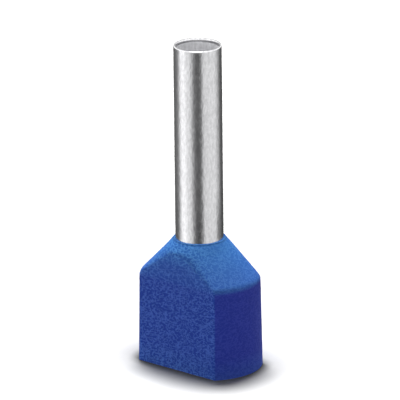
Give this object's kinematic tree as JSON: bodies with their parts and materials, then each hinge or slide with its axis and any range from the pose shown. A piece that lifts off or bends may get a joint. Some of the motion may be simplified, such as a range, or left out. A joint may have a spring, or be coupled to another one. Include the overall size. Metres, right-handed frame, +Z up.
{
  "type": "twin wire ferrule",
  "caption": "Crimp ferrule with a round tinned sleeve and a flat moulded collar that leads stripped conductors into the sleeve side by side.",
  "frame": {"origin": "centre of the collar's mouth, in the plane of its rim", "axes": "+Z up the sleeve's axis to its free end, X along the collar's width, across the conductors, Y along the collar's depth"},
  "size_m": [0.0082, 0.0046, 0.0215],
  "materials": {
    "collar_plastic": "blue moulded polypropylene with a fine spark-eroded grain",
    "sleeve_metal": "bright tin plate on a drawn copper tube"
  },
  "bodies": {
    "root": {"collar": "collar_plastic", "sleeve": "sleeve_metal"}
  },
  "joints": []
}
